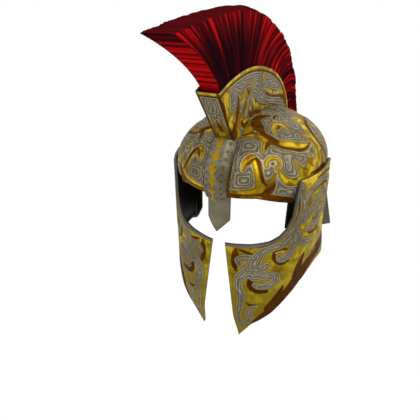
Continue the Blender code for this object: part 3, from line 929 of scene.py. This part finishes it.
def make_cheek_guards():
    """Both guards, their edges thick and rounded, their faces raised into scrolls."""

    def measure(u, v):
        base = cheek_place(u, v)
        along_u, along_v = slopes(cheek_place, u, v)
        normal = facing(along_u, along_v, base * np.array((1, 1, 0)))
        wide, tall = np.linalg.norm(along_u, axis=1), np.linalg.norm(along_v, axis=1)
        skew = np.abs((unit(along_u) * unit(along_v)).sum(-1))
        square = np.sqrt(1 - skew * skew)
        to_edge = np.minimum(np.minimum(u, 1 - u) * wide, np.minimum(v, 1 - v) * tall) * square
        return base, normal, to_edge

    def rounding(to_edge):
        turn = np.clip(1 - to_edge / CHEEK_ROUNDING, 0, 1)
        return CHEEK_ROUNDING * (1 - np.sqrt(1 - turn * turn))

    def layers(u, v):
        base, _, to_edge = measure(u, v)
        stain = scroll_depth(base, CHEEK_BROWN, degrees_on_cheek)
        silver = scroll_depth(base, CHEEK_SILVER, degrees_on_cheek) + CHEEK_WIDEN
        return {"silver": np.minimum(silver, to_edge / MM - CHEEK_MARGIN), "stain": stain}

    def outer(u, v):
        base, normal, to_edge = measure(u, v)
        raised = relief(layers(u, v)["silver"]) * smooth(1.0 * MM, 2.5 * MM, to_edge)
        return base + normal * (raised - rounding(to_edge))[:, None]

    def inner(u, v):
        base, normal, to_edge = measure(u, v)
        step = smooth(CHEEK_EDGE_BAND, CHEEK_EDGE_BAND + 1.5 * MM, to_edge)
        depth = CHEEK_EDGE + (CHEEK_SHEET - CHEEK_EDGE) * step - rounding(to_edge)
        return base - normal * depth[:, None]

    close = np.array((0.0, 0.004, 0.009, 0.014))
    columns, rows = [
        np.concatenate((close, np.linspace(0.02, 0.98, count), 1 - close[::-1]))
        for count in ((150, 230) if fine else (80, 120))
    ]
    bm = shell(columns, rows, outer, inner, layers, SCROLL_LAYERS)
    bare_eye_edge(bm)
    materials = (gilded, inside_metal, edge_metal)
    finish_pair("cheek_guard", "scrollwork", bm, materials)


def bare_eye_edge(bm):
    """Leave the border round the eye opening as bare metal."""
    share = lines(200)
    edge = cheek_place(share, np.ones_like(share))
    edge = edge[read(CHEEK_UPPER_EDGE, share, 2) > 0.001]
    for face in bm.faces:
        middle = np.array(face.calc_center_median())
        if middle[2] > EYE_FLOOR and np.linalg.norm(edge - middle, axis=1).min() < EYE_BORDER:
            face.material_index = 2


# Crest box.

# Rows: depth, height and half width in mm.
BOX_GOLD = (
    ((-142, 52, 5.0), (-134, 43, 5.4), (-129, 34, 4.0), (-124, 24, 3.6), (-119, 14, 3.6),
     (-110, 6, 4.0), (-101, 3, 3.0)),
    ((-128, 46, 3.6), (-122, 40, 3.0), (-126, 34, 1.4)),
    ((-116, 19, 4.0), (-108, 20, 3.0), (-101, 26, 1.0)),
    ((-84, 37, 4.0), (-78, 32, 7.0), (-76, 24, 5.0), (-80, 14, 5.0), (-84, 6, 5.0)),
    ((-90, 37, 2.4), (-72, 38, 4.6), (-62, 38, 2.6), (-59, 47, 1.6), (-60, 52, 0.6)),
    ((-72, 5, 4.0), (-62, 3, 2.0)),
    ((-91, 14, 3.0), (-93, 4, 4.6), (-91, -6, 5.0)),
    ((-61, 24, 0.8), (-56, 16, 2.6), (-52, 10, 2.4)),
    ((-46, 27, 0.8), (-41, 20, 2.6), (-28, 13, 2.8), (-12, 8, 2.2), (8, 4, 1.6), (32, 0, 1.4),
     (58, -7, 1.6), (86, -14, 1.6), (108, -22, 1.2)),
    ((-16, 48, 1.8), (-13, 54, 2.4)),
    ((-4, 31, 0.8), (8, 27, 1.6), (30, 20, 1.8), (52, 15, 2.4), (70, 14, 3.0), (86, 10, 2.4)),
)
BOX_BROWN = (
    ((-145, 43, 2.0), (-140, 35, 5.6), (-132, 20, 5.8), (-123, 6, 6.2), (-112, -4, 6.6),
     (-98, -6, 6.0)),
    ((-100, 41, 1.2), (-97, 32, 3.4), (-96, 22, 4.8), (-99, 12, 4.4), (-104, 2, 5.0)),
    ((-60, 21, 1.0), (-58, 12, 3.6), (-50, 7, 4.4), (-36, 7, 3.6), (-20, 4, 2.2), (0, 0, 1.0)),
    ((-48, 24, 0.8), (-47, 16, 1.8), (-44, 10, 2.4)),
    ((-21, 55, 2.0), (-20, 47, 1.6), (-19, 42, 0.6)),
    ((-82, 6, 3.0), (-72, -2, 3.4), (-60, 0, 2.4)),
    ((-8, 30, 0.6), (4, 23, 1.6), (26, 16, 1.8), (50, 11, 2.0), (72, 7, 2.8), (92, -1, 3.4),
     (106, -14, 2.6)),
    ((-70, 43, 0.8), (-66, 39, 1.8), (-62, 36, 0.8)),
)
BOX_SILVER = (
    ((-114, 31, 6.6), (-113, 34, 7.0)),
    ((-118, 38, 4.0), (-119, 46, 3.6), (-110, 51, 4.0)),
    ((-71, 12, 4.2), (-68, 16, 3.8), (-64, 22, 2.0)),
)
# Rows: millimetres across and up the front wall, half width in mm.
BOX_FRONT_GOLD = (
    ((0, 0, 9.0), (0, 12, 9.0), (0, 22, 7.0)),
    ((-5.5, 24, 3.2), (-5.6, 36, 2.4), (-6.4, 54, 0.5)),
    ((5.5, 22, 3.2), (5.2, 38, 2.2), (4.4, 54, 0.5)),
)
BOX_FRONT_BROWN = (
    ((0.4, 26, 1.2), (0, 36, 2.2), (-0.8, 48, 0.5)),
)
# By this much the wall is thinner than the solid one, to leave the hair more room.
HAIR_ROOM = 0.2 * MM
# In mm: the gilding along the rim, the depth of a brown line below the rim on the flanks and on
# the front wall, and the height of the rim's lip.
BOX_RIM_GILDING = 5.0
BOX_LINE = 5.2
BOX_FRONT_LINE = 5.6
BOX_LIP = 0.6
# In mm: half the front wall, and the flank from front to back.
BOX_FRONT_RUN = 13
BOX_FLANK_RUN = 215


def millimetres_on_box(depth, height):
    return np.stack((np.full(len(depth), BOX_HALF_WIDTH_RIM), depth * MM, height * MM), axis=-1)


def millimetres_on_front(across, height):
    return np.stack((across * MM, 0 * across, height * MM), axis=-1)


def make_crest_box():
    """The channel: a ring of wall round the hair, raised into scrolls."""
    long, high = (250, 64) if fine else (140, 40)
    back_turn, front_turn = np.linspace(0, 1, 5), np.linspace(1, 0, 14)[1:]
    flank_run = np.linspace(1, 0, long)[1:]
    across = np.concatenate((back_turn, np.ones(len(flank_run)), front_turn))
    along = np.concatenate((np.ones(len(back_turn)), flank_run, np.zeros(len(front_turn))))
    across = np.concatenate((across, -across[-2::-1]))
    along = np.concatenate((along, along[-2::-1]))
    count = len(across)
    bm, u, v = loose_grid(lines(count - 1), lines(high), SCROLL_LAYERS)
    station = np.rint(u * (count - 1)).astype(int)
    base = box_point(along[station], v, across[station])
    foot, rim = box_ray(along[station])
    flank = np.abs(across[station]) > 0.999
    forward = np.stack((np.zeros(len(u)), -(rim - foot)[:, 1], (rim - foot)[:, 0]), axis=-1)
    normal = np.where(flank[:, None], np.sign(base[:, :1]) * np.array((1.0, 0, 0)), unit(forward))
    normal[~flank & (along[station] > 0.5)] *= -1
    length = np.linalg.norm(rim - foot, axis=1)
    from_rim = (1 - v) * length / MM
    to_edge = np.minimum(v, 1 - v) * length / MM
    corner = np.where(along[station] < 0.5, 1 - np.abs(across[station]), 9.0) * BOX_FRONT_RUN
    to_corner = np.where(flank, along[station] * BOX_FLANK_RUN, corner)

    on_side = base * np.array((0, 1, 1)) + np.array((BOX_HALF_WIDTH_RIM, 0, 0))
    gold = scroll_depth(on_side, BOX_GOLD, millimetres_on_box) + FLAME_WIDEN * 2
    brown = scroll_depth(on_side, BOX_BROWN, millimetres_on_box)
    brown = np.maximum(brown, 1.4 - np.abs(from_rim - BOX_LINE))
    gold = np.maximum(gold, BOX_RIM_GILDING - from_rim)
    patch = scroll_depth(on_side, BOX_SILVER, millimetres_on_box)

    on_front = np.stack((base[:, 0], 0 * v, v * length), axis=-1)
    front_gold = scroll_depth(on_front, BOX_FRONT_GOLD, millimetres_on_front)
    front_gold = np.maximum(front_gold, BOX_RIM_GILDING - from_rim)
    front_brown = scroll_depth(on_front, BOX_FRONT_BROWN, millimetres_on_front)
    for border in (3.0 - corner, 2.0 - v * length / MM, 1.0 - np.abs(from_rim - BOX_FRONT_LINE)):
        front_brown = np.maximum(front_brown, border)
    side_silver = np.maximum(patch, -np.maximum(gold, brown))
    silver = np.where(flank, side_silver, -np.maximum(front_gold, front_brown))
    stain = np.where(flank, brown, front_brown)
    fade = smooth(0.5, 2.0, to_edge) * smooth(0.3, 1.8, to_corner)
    lip = BOX_LIP * smooth(4.8, 3.6, from_rim) * smooth(0.2, 1.0, to_corner) * MM
    raised = base + normal * (relief(silver) * fade + lip)[:, None]
    move(bm, raised)
    store(bm, {"silver": silver, "stain": stain}, range(len(raised)))
    close_up(bm, 0.01 * MM)
    materials = (gilded, edge_metal, edge_metal)
    piece = finish("crest_box_scrollwork", bm, materials, "crest_box")
    give_wall(piece, BOX_WALL - HAIR_ROOM, 1)


# Plume.

def random_line(seed, step, length):
    """Smooth random values from -1 to 1 along a length, one about every step."""
    draws = np.random.default_rng(seed).uniform(-1, 1, int(length / step) + 3)

    def value(position):
        share = position / step
        whole = np.clip(np.floor(share).astype(int), 0, len(draws) - 2)
        part = share - whole
        part = part * part * (3 - 2 * part)
        return draws[whole] * (1 - part) + draws[whole + 1] * part

    return value


STRAND_BANDS = (
    (random_line(3, 7 * MM, 1.2), 0.75),
    (random_line(5, 3.1 * MM, 1.2), 0.45),
    (random_line(8, 1.5 * MM, 1.2), 0.28),
)
TUFT_BANDS = (
    (random_line(13, 9 * MM, 1.2), 0.5),
    (random_line(17, 3.0 * MM, 1.2), 0.5),
    (random_line(19, 1.3 * MM, 1.2), 0.4),
)
PLUME_TIP_LENGTH = 0.481
PLUME_REACH = 0.130
# Length of each rounded end, front and back, in metres.
PLUME_TURN = 0.016


def banded(bands, position):
    """The sum of the bands' random lines, each with its own size, in mm."""
    return sum(size * line(position) for line, size in bands)


def plume_point(share, level, side, tuft=0.0):
    """The plume's flank: level 0 is the root, 1 the box's rim, 2 the tips."""
    station = PLUME_END_GAP + (1 - 2 * PLUME_END_GAP) * read(PLUME_TIPS, share)
    foot, rim = box_ray(station)
    up = unit(rim - foot)
    root = foot + up * (BOX_WALL + CLEARANCE)
    inner_root = BOX_HALF_WIDTH_FOOT - BOX_WALL - CLEARANCE
    inner_rim = BOX_HALF_WIDTH_RIM - BOX_WALL - CLEARANCE * 2
    neck = inner_root + (inner_rim - inner_root) * 0.8
    below = root + (rim - root) * np.minimum(level, 1)[:, None]
    rise = np.clip(level - 1, 0, 1)
    tips = np.stack((read(PLUME_TIPS, share, 2), read(PLUME_TIPS, share, 3)), axis=-1)
    reach = tips - rim
    length = np.linalg.norm(reach, axis=1) + tuft
    turn = np.sqrt(rise)[:, None]
    bend = unit(up * (1 - turn) + unit(reach) * turn)
    above = rim + bend * (length * rise)[:, None]
    point = np.where((level <= 1)[:, None], below, above)
    wide = np.where(
        level <= 1,
        inner_root + (neck - inner_root) * np.minimum(level, 1),
        neck + (PLUME_HALF_WIDTH_TIP - neck) * rise,
    )
    return np.stack((side * wide, point[:, 0], point[:, 1]), axis=-1), bend


def make_plume():
    """The brush: one half with front, flank, top and back, raised into strands and mirrored."""
    front, flank, back = (18, 620, 14) if fine else (10, 300, 8)
    rise = np.concatenate((
        np.array((0.0, 0.6, 0.97)), np.linspace(1.03, 1.985, 18 if fine else 10),
        np.array((2.0,)), 2 + np.linspace(0.08, 1, 9 if fine else 6),
    ))
    count = front + flank + back
    bm, u, v = loose_grid(lines(count), rise)
    station = u * count
    corner = np.clip(station / front, 0, 1)
    heel = np.clip((count - station) / back, 0, 1)
    share = np.clip((station - front) / flank, 0, 1)
    spread = np.minimum(corner, heel)
    rounded = np.sqrt(1 - (1 - spread) ** 3.2)
    travel = share * PLUME_TIP_LENGTH + corner * PLUME_TURN + (1 - heel) * PLUME_TURN + 0.02
    sway = 0.004 * np.sin(v * 2.1 + travel * 40)
    tuft = banded(TUFT_BANDS, travel) * MM * 0.6
    level = np.minimum(v, 2)
    base, bend = plume_point(share, level, np.ones(len(u)), tuft)
    over = np.clip(v - 2, 0, 1)
    crown = PLUME_CROWN * 4 * share * (1 - share) * (1 - (1 - over) ** 2)
    inward = np.where(v > 2, 1 - over, 1.0)
    texture = banded(STRAND_BANDS, travel + sway) * MM
    free = smooth(1.0, 1.25, v)
    push = texture * free * inward
    points = base.copy()
    points[:, 0] = (base[:, 0] + push) * rounded * inward
    ragged = banded(TUFT_BANDS, travel * 1.7 + over * 0.02 + 0.05)
    lift = crown + ragged * MM * np.where(v > 2, smooth(0, 0.25, over), 0) * 0.4
    points[:, 1] += bend[:, 0] * lift
    points[:, 2] += bend[:, 1] * lift
    ahead = (1 - spread) * free * np.where(station < count / 2, 1, -1)
    points[:, 1] -= ahead * (0.8 + texture / MM * 0.8) * MM
    middle = np.minimum(station, count - station) < 0.5
    points[middle | (v > 2.999), 0] = 0.0
    move(bm, points)
    layer = bm.loops.layers.uv.new("strand")
    bm.verts.index_update()
    for face in bm.faces:
        in_front = max(station[vert.index] for vert in face.verts) <= front
        for loop in face.loops:
            row = loop.vert.index
            across = (v[row] * PLUME_REACH, 5 + travel[row] * 12)
            loop[layer].uv = across if in_front else (travel[row], v[row])
    whole = list(bm.verts) + list(bm.edges) + list(bm.faces)
    bmesh.ops.mirror(bm, geom=whole, axis="X", merge_dist=0.00002)
    bmesh.ops.remove_doubles(bm, verts=list(bm.verts), dist=0.00001)
    bmesh.ops.holes_fill(bm, edges=[edge for edge in bm.edges if edge.is_boundary])
    bmesh.ops.recalc_face_normals(bm, faces=list(bm.faces))
    finish("plume_hair", bm, (hair_red,), "plume", sharp=60)


# Brow band and nasal guard.

def band_top_latitude():
    """Latitude at which the strap meets the crest box's leaning front wall."""
    foot, rim = box_ray(np.zeros(1))
    slope = (rim[0, 0] - foot[0, 0]) / (rim[0, 1] - foot[0, 1])
    latitude = math.radians(55)
    while latitude > 0:
        here = np.array((latitude,))
        middle = np.zeros(1)
        tops = (band_surface(middle, here, band_lift(middle, here))[0],
                band_surface(middle, here, np.array((CLEARANCE,)))[0])
        room = [foot[0, 0] + slope * (top[2] - foot[0, 1]) - top[1] for top in tops]
        if min(room) > CLEARANCE * 2:
            return latitude
        latitude -= math.radians(0.1)
    return latitude


def make_brow_band():
    """The convex strap with its row of small ornaments."""
    top = band_top_latitude()
    brow = rim_latitude(np.zeros(1))[0]
    tip = BAND_TIP / SKULL_RISE

    def strap_face(lift):
        def place(u, v):
            across = 2 * u - 1
            start = brow - tip * (1 - across * across)
            latitude = start + (top - start) * v
            return band_surface(across, latitude, lift(across, latitude))
        return place

    outer = strap_face(band_lift)
    inner = strap_face(lambda across, latitude: np.full(len(across), CLEARANCE))

    def layers(u, v):
        return {"across": 2 * u - 1, "up": v}

    bm = shell(lines(48), lines(120), outer, inner, layers, ("across", "up"))
    materials = (strap_metal, edge_metal, edge_metal)
    finish("brow_band_strap", bm, materials, "brow_band", sharp=60)


def make_nasal_guard():
    """The bowed blade, its end drawn to a point."""
    brow = float(rim_height(np.array(-SKULL_FRONT_REACH)))
    front = skull_point(np.zeros(1), rim_latitude(np.zeros(1)))[0, 1] + SKULL_WALL + CLEARANCE

    def place(inset):
        def point(u, v):
            across = 2 * u - 1
            low = -NASAL_TIP + (NASAL_TIP - NASAL_SHOULDER) * np.abs(across)
            height = brow + low + (NASAL_ROOT - low) * v
            bow = NASAL_BOW * across * across
            return np.stack((across * NASAL_HALF_WIDTH, front + bow + inset, height), axis=-1)
        return point

    bm = shell(lines(24), lines(20), place(0.0), place(NASAL_WALL), lambda u, v: {})
    materials = (blade_metal, edge_metal, edge_metal)
    piece = finish("nasal_guard_blade", bm, materials, "nasal_guard")
    soften(piece, 0.5 * MM)


# Neck plates.

def guard_rear_corner(height):
    """The inner corner of the cheek guard's rear edge at heights."""
    v = np.linspace(0, 1, 400)
    u = np.ones_like(v)
    base = cheek_place(u, v)
    along_u, along_v = slopes(cheek_place, u, v)
    corner = base - facing(along_u, along_v, base * np.array((1, 1, 0))) * CHEEK_EDGE
    return np.stack([np.interp(height, base[:, 2], corner[:, axis]) for axis in (0, 1)], axis=-1)


def neck_plan(u, height):
    """The plate from above: its front, its bend behind the cheek guard, and its flare."""
    front = np.array(NECK_FRONT)
    corner = guard_rear_corner(height)
    bend = corner + np.array((-NECK_BEND_GAP * 1.4, NECK_BEND_GAP))
    top = rim_height(np.array(NECK_OUTER_TOP[1]))
    share = np.clip((top - height) / (top - NECK_TIP_LEVEL), 0, 1)[:, None]
    flare = np.array(NECK_OUTER_TOP) * (1 - share) + np.array(NECK_FLARE) * share
    first = (u / NECK_BEND)[:, None]
    second = ((u - NECK_BEND) / (1 - NECK_BEND))[:, None]
    return np.where(first <= 1, front + (bend - front) * first, bend + (flare - bend) * second)


def neck_place(u, v):
    """The plate's outer face: u from front to flare, v from lower to upper edge."""
    brow = float(rim_height(np.array(-SKULL_FRONT_REACH)))
    low = brow - read(NECK_LOWER_EDGE, u)
    at_rim = neck_plan(u, np.full(len(u), float(rim_height(np.array(0.0)))))
    high = rim_height(at_rim[:, 1]) - CLEARANCE * 2
    height = low + (high - low) * v
    plan = neck_plan(u, height)
    return np.stack((plan[:, 0], plan[:, 1], height), axis=-1)


def make_neck_plates():
    """Both neck plates, one the mirror image of the other."""
    def inner(u, v):
        base = neck_place(u, v)
        along_u, along_v = slopes(neck_place, u, v)
        return base - facing(along_u, along_v, np.array(NECK_OUTWARD)) * NECK_SHEET

    columns = np.unique(np.concatenate((lines(30), (0.56, 0.66, NECK_BEND))))
    bm = shell(columns, lines(24), neck_place, inner, lambda u, v: {})
    for piece in finish_pair("neck_plate", "sheet", bm, (dark_steel,) * 3):
        soften(piece, 0.4 * MM)


# Light and camera.

def make_stage():
    """A white room with a key light and a soft light from behind."""
    world = bpy.data.worlds.new("studio")
    world.use_nodes = True
    background = world.node_tree.nodes["Background"]
    background.inputs[0].default_value = (1.0, 1.0, 1.0, 1.0)
    background.inputs[1].default_value = 1.0
    bpy.context.scene.world = world
    bpy.context.scene.view_settings.view_transform = "Standard"
    for name, place, size, power, colour in (
        ("key", (0.9, -0.7, 1.2), 0.5, 16, (1.0, 0.98, 0.94)),
        ("back", (0.5, 1.3, 1.0), 1.0, 4, (1.0, 1.0, 1.0)),
    ):
        light = bpy.data.lights.new(name, "AREA")
        light.size = size
        light.energy = power
        light.color = colour
        lamp = bpy.data.objects.new(name, light)
        lamp.location = place
        aim = np.array((0, 0, -0.05)) - np.array(place)
        lamp.rotation_euler = (
            math.atan2(math.hypot(aim[0], aim[1]), -aim[2]), 0, math.atan2(-aim[0], aim[1])
        )
        bpy.context.scene.collection.objects.link(lamp)


CAMERA_PLACE = (0.1774, -0.4923, 0.1360)
# In degrees: down from level, and turned from the +Y direction.
CAMERA_DOWN = 30.07
CAMERA_TURN = 26.92
# In mm.
CAMERA_LENS = 31.17
CAMERA_SENSOR = 36.0


def make_camera():
    """The photograph's camera."""
    data = bpy.data.cameras.new("camera")
    data.lens = CAMERA_LENS
    data.sensor_width = CAMERA_SENSOR
    data.clip_start = 0.01
    camera = bpy.data.objects.new("camera", data)
    camera.location = CAMERA_PLACE
    camera.rotation_euler = (math.radians(90 - CAMERA_DOWN), 0, math.radians(CAMERA_TURN))
    bpy.context.scene.collection.objects.link(camera)
    bpy.context.scene.camera = camera


make_skull()
make_skull_rings()
make_cheek_guards()
make_crest_box()
make_plume()
make_brow_band()
make_nasal_guard()
make_neck_plates()
make_stage()
make_camera()
